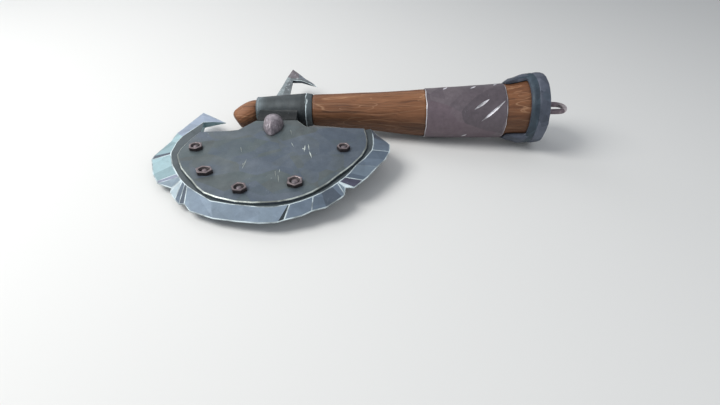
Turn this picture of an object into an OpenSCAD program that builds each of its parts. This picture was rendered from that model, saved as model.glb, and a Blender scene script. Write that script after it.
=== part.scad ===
// Single-bitted battle axe with a laminated head, a tapered haft and a capped butt.
// +X runs along the haft towards the butt, -Y towards the cutting edge, and +Z is square to the blade.
// The origin is on the haft's axis, at the middle of the pommel cap's barrel.
// Stations along the haft are given as distances from the origin towards the head.

/* [Haft] */
// Distance from the origin to the bend where the haft's tip turns off its axis
haft_len = 456; // [420:1:560]
// Radius of the haft where it enters the eye's small end
haft_eye_small_r = 17.4; // [15:0.1:18.4]
// Radius of the haft inside the eye's large end
haft_eye_large_r = 23.2; // [21:0.1:23.8]
// Radius of the shoulder that the head seats against
haft_shoulder_r = 25.3; // [24.6:0.1:27]
// Radius of the haft half way from the shoulder to the sleeve
haft_mid_r = 31; // [27:0.1:36]
// Radius under the far end of the grip sleeve
haft_grip_far_r = 37.4; // [36:0.1:40]
// Radius under the near end of the grip sleeve
haft_grip_near_r = 42; // [40.5:0.1:44]
// Radius of the flared butt, inside the pommel cap
haft_butt_r = 49; // [46:0.1:50]
// Length of the crooked tip beyond the bend
tip_len = 33; // [20:1:45]
// Radius of the crooked tip at its far end
tip_r = 14.8; // [14.2:0.1:17]
// Swing of the crooked tip towards the cutting edge
tip_swing = 31; // [0:1:35]
// Dip of the crooked tip below the blade's plane
tip_dip = 22; // [0:1:24]

/* [Wedge] */
// Length of the iron wedge driven into the end grain
wedge_len = 22; // [12:1:28]
// Width of the wedge across the tip
wedge_w = 20; // [12:1:24]
// Thickness of the wedge at its outer end
wedge_t = 4; // [2:0.5:6]
// Thickness of the wedge at its inner end
wedge_toe_t = 1; // [0.6:0.2:1.6]

/* [Eye socket] */
// Length of the eye socket along the haft
eye_len = 90; // [70:1:120]
// Distance from the bend back to the socket's small end
eye_setback = 5; // [5:0.5:10]
// Outer radius of the socket's small end
eye_small_r = 20.8; // [20.2:0.1:24]
// Outer radius of the socket's large end
eye_large_r = 27; // [26:0.1:30]
// Chamfer at the socket's ends
eye_chamfer = 1.6; // [0.5:0.1:2]
// Width of the flared web between the socket's barrel and the blade's neck
web_w = 60; // [44:1:64]
// Shift of the web from the eye's middle towards the tip
web_shift = 8; // [2:1:10]
// Width of the lug that carries the blade, below the web
lug_w = 40; // [30:1:56]
// Shift of the lug from the eye's middle towards the tip
lug_shift = 10; // [0:1:14]
// Depth of the lug's foot below the haft's axis
lug_drop = 82; // [76:1:90]

/* [Blade] */
// Depth of the blade's centre below the haft's axis
blade_drop = 112; // [104:1:120]
// Largest radius of the cutting edge about the blade's centre
edge_r = 175; // [168:1:210]
// Radius of the flat band outside the cheek plates, where the bevel starts
band_r = 142; // [141:1:148]
// Largest radius of the cheek plates
cheek_r = 140; // [134:1:141]
// Thickness of the blade's core
core_t = 10; // [6:0.5:14]
// Thickness left at the cutting edge
edge_t = 1; // [0.6:0.1:2]
// Thickness of each cheek plate
cheek_t = 4; // [2.5:0.5:6]

/* [Plate bolts] */
// Radius of the circle the bolts lie near, about the blade's centre
bolt_circle_r = 110; // [100:1:114]
// Radius of the bolts' shanks
bolt_r = 6; // [4:0.5:7]
// Width of the nuts and bolt heads across their flats
nut_flats = 19; // [16:0.5:22]
// Height of each nut
nut_h = 6.5; // [5:0.5:10]
// Height of each bolt head
bolt_head_h = 6; // [4:0.5:9]
// Depth of each bolt's end below the top of its nut
bolt_recess = 2.5; // [1:0.5:4]

/* [Socket stud] */
// Radius of the stud's shank
stud_shank_r = 7; // [5:0.5:9]
// Radius of the stud's round back
stud_head_r = 15; // [12:0.5:17]
// Reach of the stud's pointed toe beyond its centre
stud_toe = 31; // [26:0.5:34]
// Height of the stud's head
stud_head_h = 18; // [15:0.5:20]
// Depth of the stud's centre below the haft's axis
stud_drop = 62; // [60:0.5:66]
// Shift of the stud from the eye's middle towards the tip
stud_shift = 10; // [0:0.5:12]
// Radius of the rove under the lower cheek
rove_r = 13; // [11:0.5:16]
// Thickness of the rove
rove_t = 3; // [2:0.5:4]
// Height of the stud's peened end beyond the rove
peen_h = 3; // [2:0.5:4]

/* [Back spike] */
// Reach of the spike's apex beyond the haft's axis
spike_reach = 156; // [120:1:190]
// Thickness of the spike
spike_t = 6; // [5:0.5:10]

/* [Grip sleeve] */
// Distance from the origin to the sleeve's near end
sleeve_near = 54; // [53:1:70]
// Length of the sleeve
sleeve_len = 126; // [80:1:160]
// Wall of the sleeve
sleeve_wall = 1.9; // [1.2:0.1:3]

/* [Pommel cap] */
// Radius of the cap's barrel
barrel_r = 56.5; // [55:0.1:60]
// Length of the cap's barrel
barrel_len = 16; // [12:0.5:20]
// Thickness of the cap's skirt
skirt_wall = 5.5; // [3:0.1:6.5]
// Length of the cap's skirt from the barrel towards the sleeve
skirt_len = 43; // [30:0.5:44]
// Thickness of the cap's end
cap_end_t = 6; // [4:0.5:10]
// How far the cap's end stands beyond its barrel
cap_end_rise = 1.2; // [0.6:0.2:4]
// Width of each of the skirt's two windows
window_angle = 130; // [60:1:150]
// Turn of the windows' middle from the cutting edge towards the upper cheek
window_turn = 35; // [0:1:45]
// Strip of skirt left between each window and the barrel's lip
window_margin = 2; // [1:0.5:6]

/* [Lanyard loop] */
// Radius of the loop's wire
wire_r = 4.3; // [2.5:0.1:5]
// Distance between the loop's two legs, centre to centre
leg_pitch = 26; // [18:0.2:30]
// Distance from the origin to the outside of the loop's bow
loop_reach = 55; // [44:1:70]
// Depth of the legs in the haft's end grain
leg_depth = 24; // [12:1:34]

/* [Fits] */
// Gap between the haft and the iron fitted over it
haft_gap = 0.15; // [0.05:0.05:0.4]
// Gap round the bolts, the stud and the loop's legs
shank_gap = 0.2; // [0.1:0.05:0.5]
// Gap round the lug and the spike's tenon
seat_gap = 0.3; // [0.1:0.05:0.5]

/* [Hidden] */

$fn = 96;
far = 400;          // longer than any cut needs to be
cut = 1;            // how far a cut runs past the face it opens
bite = 1;           // how far a shank runs into the head it belongs to
wedge_gap = 0.05;   // gap round the driven wedge

// Stations along the haft
eye_far = haft_len - eye_setback;
eye_near = eye_far - eye_len;
eye_mid = (eye_far + eye_near) / 2;
sleeve_far = sleeve_near + sleeve_len;
flare_start = sleeve_near - 16;
flare_r = haft_grip_near_r + 1.5;   // the haft's radius where the flare starts
bend_r = haft_eye_small_r - 0.6;    // radius of the round knuckle at the bend
tip_end = 4;                        // length and depth of the bevel at the tip's far end
cap_end = barrel_len / 2 + cap_end_rise;
butt_end = cap_end - cap_end_t - haft_gap;
lip_len = 7;        // the cap's sloping lip, from its barrel to its skirt
skirt_foot = barrel_len / 2 + lip_len;

// Levels through the head
stack = core_t / 2 + cheek_t;
nut_top = stack + nut_h;
peen_r = stud_shank_r + 2.5;
toe_r = 3;                          // radius of the stud's toe
edge_land = 4;                      // how far inside edge_r the bevel comes down to edge_t

// Places of the bolts: direction about the blade's centre, how far inside the bolt circle,
// and the turn of the bolt's nut
bolt_places = [[188, -3, 8], [221, -3, 40], [254, -6, 21], [291, 5, 3], [350, 10, 33]];

// Corners of the cutting edge: direction about the blade's centre, and how far it lies inside edge_r.
// The deep ones are the chips and the crack.
edge_corners = [
    [142, 8], [174, 12], [188, 2], [190, 0], [200, 3], [210, 4], [218, 16], [220, 12],
    [227, 9], [232, 7], [239, 6], [250, 7], [260, 10], [270, 9], [278, 9], [280, 18], [283, 11],
    [293, 17], [301, 17], [311, 22], [313, 24], [317, 31], [320, 25], [328, 25],
    [331, 24], [342, 20], [349, 14], [356, 9], [362, 8], [365, 12], [372, 22], [380, 28]];

// Corners of the cheek plates, given in the same way, inside cheek_r
cheek_corners = [
    [166, 18], [193, 1], [208, 4], [223, 5], [237, 0], [245, 0], [256, 2], [272, 4], [286, 5],
    [298, 9], [320, 17], [334, 15], [354, 8], [377, 6]];

// Corners of the edge that faces the haft, from the tip side to the butt side, about the eye's middle
shoulder_line = [[-76, -79], [-62, -76], [-40, -49], [24, -47], [40, -67], [127, -72]];

// Half of the web's section across the haft, from the barrel down to the neck, as [depth, level]
web_line = [[-17, 13.5], [-24, stack + 1.5], [-46.4, stack]];

// Corners of the horn that hooks back from the tip side of the cutting edge, about the eye's middle
horn_line = [[-118, -80], [-121, -48], [-104, -47], [-89, -42]];

// Corners of the spike, from its root round its apex and beak, as [along the haft, share of the reach]
spike_line = [[-26, 0], [-4, 1], [31, 0.7], [47, 0.53], [17, 0.65], [1, 0.655], [2, 0]];

// Radius of a straight taper from [x0, r0] to [x1, r1], at x
function taper(x, x0, r0, x1, r1) = r0 + (r1 - r0) * (x - x0) / (x1 - x0);

// Radius of the haft inside the eye, x from the origin towards the head
function eye_bore(x) = taper(x, eye_far, haft_eye_small_r, eye_near, haft_eye_large_r);

// The haft's outline between the sleeve and the butt, grown by a wall
function flare(wall) = [
    [-sleeve_near, haft_grip_near_r + wall],
    [-flare_start, flare_r + wall],
    [-skirt_foot, haft_butt_r + wall]];

// Turns [x, radius] corners about the haft's axis
module turned(corners) {
    rotate([0, 90, 0])
        rotate_extrude()
            polygon([for (c = corners) [c[1], c[0]]]);
}

// Moves to the middle of the eye, on the haft's axis
module at_eye() {
    translate([-eye_mid, 0, 0]) children();
}

// Moves to the blade's centre
module at_blade() {
    translate([-eye_mid, -blade_drop, 0]) children();
}

// Moves to one plate bolt's axis
module at_bolt(i) {
    at_blade()
        rotate([0, 0, bolt_places[i][0]])
            translate([bolt_circle_r - bolt_places[i][1], 0, 0])
                children();
}

// Moves to the stud's axis
module at_stud() {
    translate([-eye_mid - stud_shift, -stud_drop, 0]) children();
}

// Moves to the bend, with +Z running out along the crooked tip
module at_tip() {
    translate([-haft_len, 0, 0])
        rotate([0, 0, tip_swing])
            rotate([0, -90 - tip_dip, 0])
                children();
}

// Upright post from one level to another
module post(r, low, high) {
    translate([0, 0, low]) cylinder(r = r, h = high - low);
}

// Hexagon from one level to another
module hexagon(flats, low, high) {
    translate([0, 0, low])
        cylinder(r = flats / 2 / cos(30), h = high - low, $fn = 6);
}

// Wedge, thick end outwards, grown by a gap
module wedge_blank(gap) {
    half_toe = wedge_toe_t / 2 + gap;
    half_head = wedge_t / 2 + gap;
    rotate([90, 0, 0])
        translate([0, 0, -wedge_w / 2 - gap])
            linear_extrude(wedge_w + 2 * gap)
                polygon([
                    [-half_toe, tip_len - wedge_len], [half_toe, tip_len - wedge_len],
                    [half_head, tip_len + cut], [-half_head, tip_len + cut]]);
}

module haft() {
    color("sienna")
    difference() {
        union() {
            turned(concat(
                [[-haft_len, 0], [-haft_len, bend_r],
                 [-eye_far, haft_eye_small_r], [-eye_near, haft_eye_large_r],
                 [-eye_near, haft_shoulder_r], [-(eye_near + sleeve_far) / 2, haft_mid_r],
                 [-sleeve_far, haft_grip_far_r]],
                flare(0),
                [[butt_end, haft_butt_r], [butt_end, 0]]));
            translate([-haft_len, 0, 0]) sphere(r = bend_r);
            at_tip() cylinder(r1 = bend_r, r2 = tip_r, h = tip_len - tip_end);
            at_tip() translate([0, 0, tip_len - tip_end]) cylinder(r1 = tip_r, r2 = tip_r - tip_end, h = tip_end);
        }
        at_tip() wedge_blank(wedge_gap);
        for (side = [-1, 1])
            translate([butt_end - leg_depth, side * leg_pitch / 2, 0])
                rotate([0, 90, 0])
                    cylinder(r = wire_r + shank_gap, h = leg_depth + cut);
    }
}

module haft_wedge() {
    color("slategray")
    intersection() {
        at_tip() wedge_blank(0);
        at_tip() cylinder(r = far, h = tip_len);
    }
}

module eye_socket() {
    color("darkslategray")
    difference() {
        union() {
            turned([
                [-eye_far, 0], [-eye_far, eye_small_r - eye_chamfer],
                [-eye_far + eye_chamfer, eye_small_r],
                [-eye_near - 3 * eye_chamfer, eye_large_r],
                [-eye_near - 2 * eye_chamfer, eye_large_r],
                [-eye_near, eye_large_r - eye_chamfer], [-eye_near, 0]]);
            at_eye()
                translate([-lug_w / 2 - lug_shift, -lug_drop, -core_t / 2])
                    cube([lug_w, lug_drop, core_t]);
            at_eye()
                translate([-web_w / 2 - web_shift, 0, 0])
                    rotate([90, 0, 90])
                        linear_extrude(web_w)
                            polygon(concat(web_line,
                                [for (i = [len(web_line) - 1 : -1 : 0]) [web_line[i][0], -web_line[i][1]]]));
        }
        turned([
            [-eye_far - cut, 0], [-eye_far - cut, eye_bore(eye_far + cut) + haft_gap],
            [-eye_near + cut, eye_bore(eye_near - cut) + haft_gap], [-eye_near + cut, 0]]);
        at_stud() post(stud_shank_r + shank_gap, -far, far);
        spike_blank(seat_gap);
    }
}

// Corners given by direction and inset about the blade's centre, as [x, y] about the eye's middle
function about_blade(corners, r) = [for (c = corners)
    [(r - c[1]) * cos(c[0]), (r - c[1]) * sin(c[0]) - blade_drop]];

// The edge that faces the haft, from the butt side to the tip side
function shoulder_back() = [for (i = [len(shoulder_line) - 1 : -1 : 0]) shoulder_line[i]];

// The blade's outline in its own plane, horn, chips and shoulders included
module core_outline() {
    polygon(concat(horn_line, about_blade(edge_corners, edge_r), shoulder_back()));
}

module blade_core() {
    color("lightsteelblue")
    difference() {
        intersection() {
            at_blade()
                rotate_extrude()
                    polygon([
                        [0, -core_t / 2], [band_r, -core_t / 2], [edge_r - edge_land, -edge_t / 2],
                        [far, -edge_t / 2], [far, edge_t / 2],
                        [edge_r - edge_land, edge_t / 2], [band_r, core_t / 2], [0, core_t / 2]]);
            at_eye()
                translate([0, 0, -far / 2])
                    linear_extrude(far)
                        core_outline();
        }
        at_eye()
            translate([-lug_w / 2 - lug_shift - seat_gap, -lug_drop - seat_gap, -core_t])
                cube([lug_w + 2 * seat_gap, far, 2 * core_t]);
        for (i = [0 : 4])
            at_bolt(i) post(bolt_r + shank_gap, -far, far);
    }
}

// One cheek plate above the blade's plane, with its bolt and stud holes
module cheek_plate() {
    difference() {
        at_eye()
            translate([0, 0, core_t / 2])
                linear_extrude(cheek_t)
                    polygon(concat(about_blade(cheek_corners, cheek_r), shoulder_back()));
        for (i = [0 : 4])
            at_bolt(i) post(bolt_r + shank_gap, -far, far);
        at_stud() post(stud_shank_r + shank_gap, -far, far);
    }
}

module cheek_plate_upper() {
    color("slategray") cheek_plate();
}

module cheek_plate_lower() {
    color("slategray") mirror([0, 0, 1]) cheek_plate();
}

// Bolt up through the stack, with its head under the lower cheek
module plate_bolt(i) {
    color("dimgray")
    at_bolt(i) {
        post(bolt_r, -stack - bite, nut_top - bolt_recess);
        rotate([0, 0, bolt_places[i][2]]) hexagon(nut_flats, -stack - bolt_head_h, -stack);
    }
}

module plate_nut(i) {
    color("rosybrown")
    at_bolt(i)
        difference() {
            rotate([0, 0, bolt_places[i][2]]) hexagon(nut_flats, stack, nut_top);
            post(bolt_r + shank_gap, 0, far);
        }
}

module socket_stud() {
    color("thistle")
    at_stud() {
        intersection() {
            hull() {
                translate([0, 0, stack]) sphere(r = stud_head_r, $fn = 32);
                translate([0, 0, stack + stud_head_h - stud_head_r]) sphere(r = stud_head_r, $fn = 32);
                translate([0, toe_r - stud_toe, stack]) sphere(r = toe_r, $fn = 32);
            }
            post(far, stack, far);
        }
        post(stud_shank_r, -stack - rove_t - bite, stack + bite);
        translate([0, 0, -stack - rove_t - peen_h])
            cylinder(r1 = stud_shank_r, r2 = peen_r, h = peen_h);
    }
}

module stud_rove() {
    color("dimgray")
    at_stud()
        difference() {
            post(rove_r, -stack - rove_t, -stack);
            post(stud_shank_r + shank_gap, -far, far);
        }
}

// The spike before its root is cut to the haft, grown round its tenon by a gap
module spike_blank(gap) {
    at_eye()
        translate([0, 0, -spike_t / 2 - gap])
            linear_extrude(spike_t + 2 * gap)
                polygon([for (p = spike_line)
                    [p[0] + (p[0] < 0 ? -gap : gap), p[1] * spike_reach]]);
}

module back_spike() {
    color("lightslategray")
    difference() {
        spike_blank(0);
        turned([
            [-eye_far, 0], [-eye_far, eye_bore(eye_far) + haft_gap],
            [-eye_near, eye_bore(eye_near) + haft_gap], [-eye_near, 0]]);
        at_eye() translate([-far / 2, -far, -far / 2]) cube([far, far, far]);
    }
}

module grip_sleeve() {
    color("dimgray")
    turned([
        [-sleeve_far, haft_grip_far_r + haft_gap],
        [-sleeve_near, haft_grip_near_r + haft_gap],
        [-sleeve_near, haft_grip_near_r + haft_gap + sleeve_wall],
        [-sleeve_far, haft_grip_far_r + haft_gap + sleeve_wall]]);
}

// Sector of a tube's wall that one window takes out, seen along the haft
module window_sector() {
    half = window_angle / 2;
    polygon([[0, 0], [far * cos(half), -far * sin(half)],
        [far, -far * sin(half)], [far, far * sin(half)],
        [far * cos(half), far * sin(half)]]);
}

module pommel_cap() {
    skirt_r = haft_butt_r + haft_gap + skirt_wall;
    skirt_x = -barrel_len / 2 - skirt_len;
    skirt_end_r = taper(skirt_x, -sleeve_near, haft_grip_near_r, -flare_start, flare_r);
    color("darkslategray")
    difference() {
        turned([
            [skirt_x, 0], [skirt_x, skirt_end_r + haft_gap + skirt_wall],
            [-flare_start, flare_r + haft_gap + skirt_wall],
            [-skirt_foot, skirt_r], [-barrel_len / 2, barrel_r], [barrel_len / 2, barrel_r],
            [cap_end, barrel_r - 2 * cap_end_rise], [cap_end, 0]]);
        turned(concat(
            [[-sleeve_far, 0]], flare(haft_gap),
            [[butt_end + haft_gap, haft_butt_r + haft_gap], [butt_end + haft_gap, 0]]));
        for (side = [0, 180])
            rotate([-window_turn + side, 0, 0])
                translate([skirt_x - cut, 0, 0])
                    rotate([90, 0, 90])
                        linear_extrude(skirt_len - lip_len - window_margin + cut)
                            mirror([1, 0])
                                window_sector();
        for (side = [-1, 1])
            translate([0, side * leg_pitch / 2, 0])
                rotate([0, 90, 0])
                    cylinder(r = wire_r + shank_gap, h = far);
    }
}

module lanyard_loop() {
    bow_x = loop_reach - wire_r - leg_pitch / 2;
    leg_from = butt_end - leg_depth + cut;
    color("rosybrown") {
        for (side = [-1, 1])
            translate([leg_from, side * leg_pitch / 2, 0])
                rotate([0, 90, 0])
                    cylinder(r = wire_r, h = bow_x - leg_from);
        translate([bow_x, 0, 0])
            rotate([0, 0, -90])
                rotate_extrude(angle = 180)
                    translate([leg_pitch / 2, 0])
                        circle(r = wire_r);
    }
}

haft();
haft_wedge();
eye_socket();
blade_core();
cheek_plate_upper();
cheek_plate_lower();
plate_bolt(0);  // plate_bolt_1
plate_bolt(1);  // plate_bolt_2
plate_bolt(2);  // plate_bolt_3
plate_bolt(3);  // plate_bolt_4
plate_bolt(4);  // plate_bolt_5
plate_nut(0);  // plate_nut_1
plate_nut(1);  // plate_nut_2
plate_nut(2);  // plate_nut_3
plate_nut(3);  // plate_nut_4
plate_nut(4);  // plate_nut_5
socket_stud();
stud_rove();
back_spike();
grip_sleeve();
pommel_cap();
lanyard_loop();
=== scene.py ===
"""Looks of a laminated battle axe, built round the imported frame.

The frame's axes: +X runs along the haft to the butt, -Y to the cutting edge, +Z square to the blade.
Shapes are worked out in millimetres and written to the meshes in metres.
"""
import math

import bpy
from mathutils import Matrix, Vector, noise


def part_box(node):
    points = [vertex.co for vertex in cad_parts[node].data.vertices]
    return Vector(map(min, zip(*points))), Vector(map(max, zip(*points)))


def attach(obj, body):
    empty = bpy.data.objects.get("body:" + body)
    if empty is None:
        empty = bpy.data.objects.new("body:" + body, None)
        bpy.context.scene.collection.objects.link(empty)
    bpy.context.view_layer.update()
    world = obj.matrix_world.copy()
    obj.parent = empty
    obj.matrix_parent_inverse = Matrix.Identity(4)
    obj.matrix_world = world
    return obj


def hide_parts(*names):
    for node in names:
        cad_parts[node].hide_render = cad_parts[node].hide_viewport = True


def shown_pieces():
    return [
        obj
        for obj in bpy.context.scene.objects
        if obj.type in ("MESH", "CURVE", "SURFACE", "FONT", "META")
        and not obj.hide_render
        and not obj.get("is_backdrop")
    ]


MM = 0.001
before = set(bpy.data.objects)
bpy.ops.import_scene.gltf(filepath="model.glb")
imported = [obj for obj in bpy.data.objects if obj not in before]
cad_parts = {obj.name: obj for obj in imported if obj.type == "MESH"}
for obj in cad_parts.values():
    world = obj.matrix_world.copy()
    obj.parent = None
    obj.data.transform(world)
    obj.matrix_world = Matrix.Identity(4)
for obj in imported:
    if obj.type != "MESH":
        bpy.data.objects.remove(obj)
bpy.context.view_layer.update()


def node_box(node):
    """Lowest and highest corners of a CAD node, in millimetres."""
    low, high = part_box(node)
    return Vector(low) / MM, Vector(high) / MM


def node_centre(node):
    low, high = node_box(node)
    return (low + high) / 2


def srgb(red, green, blue):
    """Linear colour of a display colour whose channels run from 0 to 255."""
    def linear(value):
        value /= 255
        return value / 12.92 if value <= 0.04045 else ((value + 0.055) / 1.055) ** 2.4
    return (linear(red), linear(green), linear(blue), 1.0)


def between(table, x):
    """Smooth value at x through the [x, value, value...] rows of a table."""
    rows = sorted(table)
    if x <= rows[0][0]:
        return rows[0][1:]
    if x >= rows[-1][0]:
        return rows[-1][1:]
    i = max(k for k in range(len(rows) - 1) if rows[k][0] <= x)
    before, low, high, after = rows[max(i - 1, 0)], rows[i], rows[i + 1], rows[min(i + 2, len(rows) - 1)]
    span = high[0] - low[0]
    t = (x - low[0]) / span
    out = []
    for k in range(1, len(low)):
        slope_low = (high[k] - before[k]) / (high[0] - before[0]) * span
        slope_high = (after[k] - low[k]) / (after[0] - low[0]) * span
        out.append((2 * t**3 - 3 * t**2 + 1) * low[k] + (t**3 - 2 * t**2 + t) * slope_low
                   + (3 * t**2 - 2 * t**3) * high[k] + (t**3 - t**2) * slope_high)
    return out


# ---------------- camera, light and floor

CAMERA_PLACE = (-0.284, -0.7152, 0.3930)
CAMERA_TILT = math.radians(50.5)
CAMERA_LENS = 24.445
CAMERA_SENSOR = 36.0


def add_object(name, data):
    made = bpy.data.objects.new(name, data)
    bpy.context.scene.collection.objects.link(made)
    return made


def add_camera():
    data = bpy.data.cameras.new("camera")
    data.lens = CAMERA_LENS
    data.sensor_width = CAMERA_SENSOR
    camera = add_object("camera", data)
    camera.location = CAMERA_PLACE
    camera.rotation_euler = (CAMERA_TILT, 0, 0)
    bpy.context.scene.camera = camera


def add_area_light(name, place, target, size, power, colour):
    data = bpy.data.lights.new(name, "AREA")
    data.shape = "SQUARE"
    data.size = size
    data.energy = power
    data.color = colour
    light = add_object(name, data)
    light.location = place
    light.rotation_euler = (Vector(target) - Vector(place)).to_track_quat("-Z", "Y").to_euler()


def add_lights():
    middle = (-0.28, -0.08, 0)
    add_area_light("key", (-1.35, -0.25, 1.35), middle, 0.9, 24, (1.0, 0.99, 0.97))
    add_area_light("fill", (0.9, -1.3, 0.9), middle, 1.6, 5, (0.93, 0.96, 1.0))
    add_area_light("back", (-1.1, 1.3, 1.0), middle, 1.2, 5.5, (0.98, 0.99, 1.0))
    world = bpy.data.worlds.new("studio")
    world.use_nodes = True
    background = world.node_tree.nodes["Background"]
    background.inputs["Color"].default_value = (0.90, 0.94, 1.0, 1)
    background.inputs["Strength"].default_value = 0.44
    bpy.context.scene.world = world
    bpy.context.scene.view_settings.view_transform = "Standard"


# ---------------- materials

class Graph:
    """One material's node graph, with a short call for each kind of node that the materials share."""

    def __init__(self, name):
        self.material = bpy.data.materials.new(name)
        self.material.use_nodes = True
        self.tree = self.material.node_tree
        self.tree.nodes.clear()
        self.shader = self.node("ShaderNodeBsdfPrincipled")
        output = self.node("ShaderNodeOutputMaterial")
        self.tree.links.new(self.shader.outputs[0], output.inputs[0])
        self.place = self.node("ShaderNodeTexCoord").outputs["Object"]

    def node(self, kind, sockets=None, **properties):
        """Adds a node. Properties come first, because they decide which sockets it has."""
        made = self.tree.nodes.new(kind)
        for key, value in properties.items():
            setattr(made, key, value)
        for key, value in (sockets or {}).items():
            if isinstance(value, bpy.types.NodeSocket):
                self.tree.links.new(value, made.inputs[key])
            else:
                made.inputs[key].default_value = value
        return made

    def set(self, socket, value):
        if isinstance(value, bpy.types.NodeSocket):
            self.tree.links.new(value, self.shader.inputs[socket])
        else:
            self.shader.inputs[socket].default_value = value

    def math(self, operation, a, b=0.0):
        return self.node("ShaderNodeMath", {0: a, 1: b}, operation=operation).outputs[0]

    def mix(self, factor, a, b, blend="MIX"):
        made = self.node("ShaderNodeMix", {0: factor, 6: a, 7: b}, data_type="RGBA", blend_type=blend)
        return made.outputs[2]

    def stretch(self, x, y, z, source=None):
        """Coordinates scaled along each axis."""
        made = self.node("ShaderNodeMapping", {"Vector": source or self.place, "Scale": (x, y, z)})
        return made.outputs[0]

    def noise(self, scale, detail=3.0, source=None, warp=0.0, rough=0.5):
        made = self.node("ShaderNodeTexNoise", {
            "Vector": source or self.place, "Scale": scale, "Detail": detail,
            "Distortion": warp, "Roughness": rough})
        return made.outputs["Fac"]

    def warped(self, amount, scale):
        """Object coordinates pushed about by a soft noise."""
        push = self.node("ShaderNodeTexNoise", {"Vector": self.place, "Scale": scale, "Detail": 2.0})
        centred = self.node("ShaderNodeVectorMath", {0: push.outputs["Color"], 1: (0.5, 0.5, 0.5)},
                            operation="SUBTRACT")
        small = self.node("ShaderNodeVectorMath", {0: centred.outputs[0], "Scale": amount},
                          operation="SCALE")
        return self.node("ShaderNodeVectorMath", {0: self.place, 1: small.outputs[0]},
                         operation="ADD").outputs[0]

    def cells(self, scale, source=None):
        """One random grey value for each cell."""
        made = self.node("ShaderNodeTexVoronoi", {"Vector": source or self.place, "Scale": scale})
        return self.node("ShaderNodeSeparateColor", {0: made.outputs["Color"]}).outputs[0]

    def ramp(self, value, stops):
        """Colour ramp through (position, colour) stops; a bare number is a grey."""
        made = self.node("ShaderNodeValToRGB", {0: value})
        points = made.color_ramp.elements
        while len(points) < len(stops):
            points.new(0.5)
        for point, (position, colour) in zip(points, stops):
            point.position = position
            point.color = colour if isinstance(colour, tuple) else (colour, colour, colour, 1)
        return made.outputs[0]

    def shaded_corners(self, colour, reach, depth):
        """Painted shade: darkens a colour where other surfaces close in and shade falls."""
        open_sky = self.node("ShaderNodeAmbientOcclusion", {"Distance": reach}, samples=6).outputs["AO"]
        corner_shade = self.ramp(open_sky, [(0.25, depth), (0.85, 1.0)])
        return self.mix(1.0, colour, corner_shade, "MULTIPLY")

    def bump(self, height, depth, under=None):
        sockets = {"Height": height, "Distance": depth, "Strength": 1.0}
        if under:
            sockets["Normal"] = under
        return self.node("ShaderNodeBump", sockets).outputs[0]


def forged_metal(name, tones, patch=16.0, rough=(0.38, 0.62), dents=0.0006, dent_scale=70.0,
                 speckle=0.16, toned=False, corner_shade=(0.012, 0.45), spots=None, crisp=0.62):
    """Forged iron or steel in broad hammered patches, with mottling, fine scratches and painted shade in its
    corners.

    tones are the patch colours. With toned, each face's own tone takes their place. corner_shade is the reach
    and the depth of the painted shade in corners, spots is the colour of small bright specks of wear, and
    crisp is how hard the patches' outlines are."""
    g = Graph(name)
    warped = g.warped(0.02, 9.0)
    broad = g.cells(patch, g.stretch(1.0, 1.35, 1.0, warped))
    small = g.cells(patch * 2.3, warped)
    which = g.math("ADD", g.math("MULTIPLY", broad, crisp), g.math("MULTIPLY", small, 0.2))
    which = g.math("ADD", which, g.math("MULTIPLY", g.noise(14.0, 2.0), 0.86 - crisp))
    steps = [(0.25 + 0.5 * k / (len(tones) - 1), srgb(*tone)) for k, tone in enumerate(tones)]
    colour = g.ramp(which, steps)
    if toned:
        face = g.node("ShaderNodeAttribute", attribute_name="tone").outputs["Color"]
        soft = g.ramp(which, [(0.25, 0.88), (0.75, 1.09)])
        colour = g.mix(1.0, face, soft, "MULTIPLY")
    mottle = g.ramp(g.noise(160.0, 6.0, rough=0.65), [(0.3, 1.0 - speckle), (0.72, 1.0 + speckle)])
    colour = g.mix(1.0, colour, mottle, "MULTIPLY")
    hair = g.noise(1.0, 2.0, g.stretch(900.0, 120.0, 500.0, warped))
    scratch = g.ramp(hair, [(0.70, 0.0), (0.76, 1.0)])
    scratch = g.math("MULTIPLY", scratch, g.ramp(g.noise(18.0), [(0.5, 0.0), (0.62, 0.5)]))
    colour = g.mix(scratch, colour, srgb(176, 188, 194))
    if spots:
        specks = g.ramp(g.noise(150.0, 3.0, warp=0.6), [(0.61, 0.0), (0.68, 0.8)])
        colour = g.mix(specks, colour, srgb(*spots))
    # Painted shade where other surfaces close in
    colour = g.shaded_corners(colour, *corner_shade)
    g.set("Base Color", colour)
    g.set("Metallic", 0.35)
    g.set("Roughness", g.ramp(g.noise(40.0, 4.0), [(0.3, rough[0]), (0.7, rough[1])]))
    hammered = g.node("ShaderNodeTexVoronoi", {"Vector": warped, "Scale": dent_scale, "Smoothness": 0.6},
                      feature="SMOOTH_F1").outputs["Distance"]
    coarse = g.bump(hammered, dents)
    g.set("Normal", g.bump(g.noise(420.0, 4.0), 0.00012, coarse))
    return g.material


def worn_and_highlit_edge(name, colour, rough=0.34):
    """Bright metal along an edge, rubbed bare by wear and lit with a painted highlight, broken where the wear
    is less.
    """
    g = Graph(name)
    wear_highlight = g.ramp(g.noise(55.0, 4.0), [(0.36, srgb(*[0.62 * c for c in colour])), (0.58, srgb(*colour))])
    g.set("Base Color", wear_highlight)
    g.set("Metallic", 0.3)
    g.set("Roughness", g.ramp(g.noise(200.0), [(0.3, rough), (0.7, rough + 0.14)]))
    g.set("Normal", g.bump(g.noise(500.0), 0.00008))
    return g.material


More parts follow.
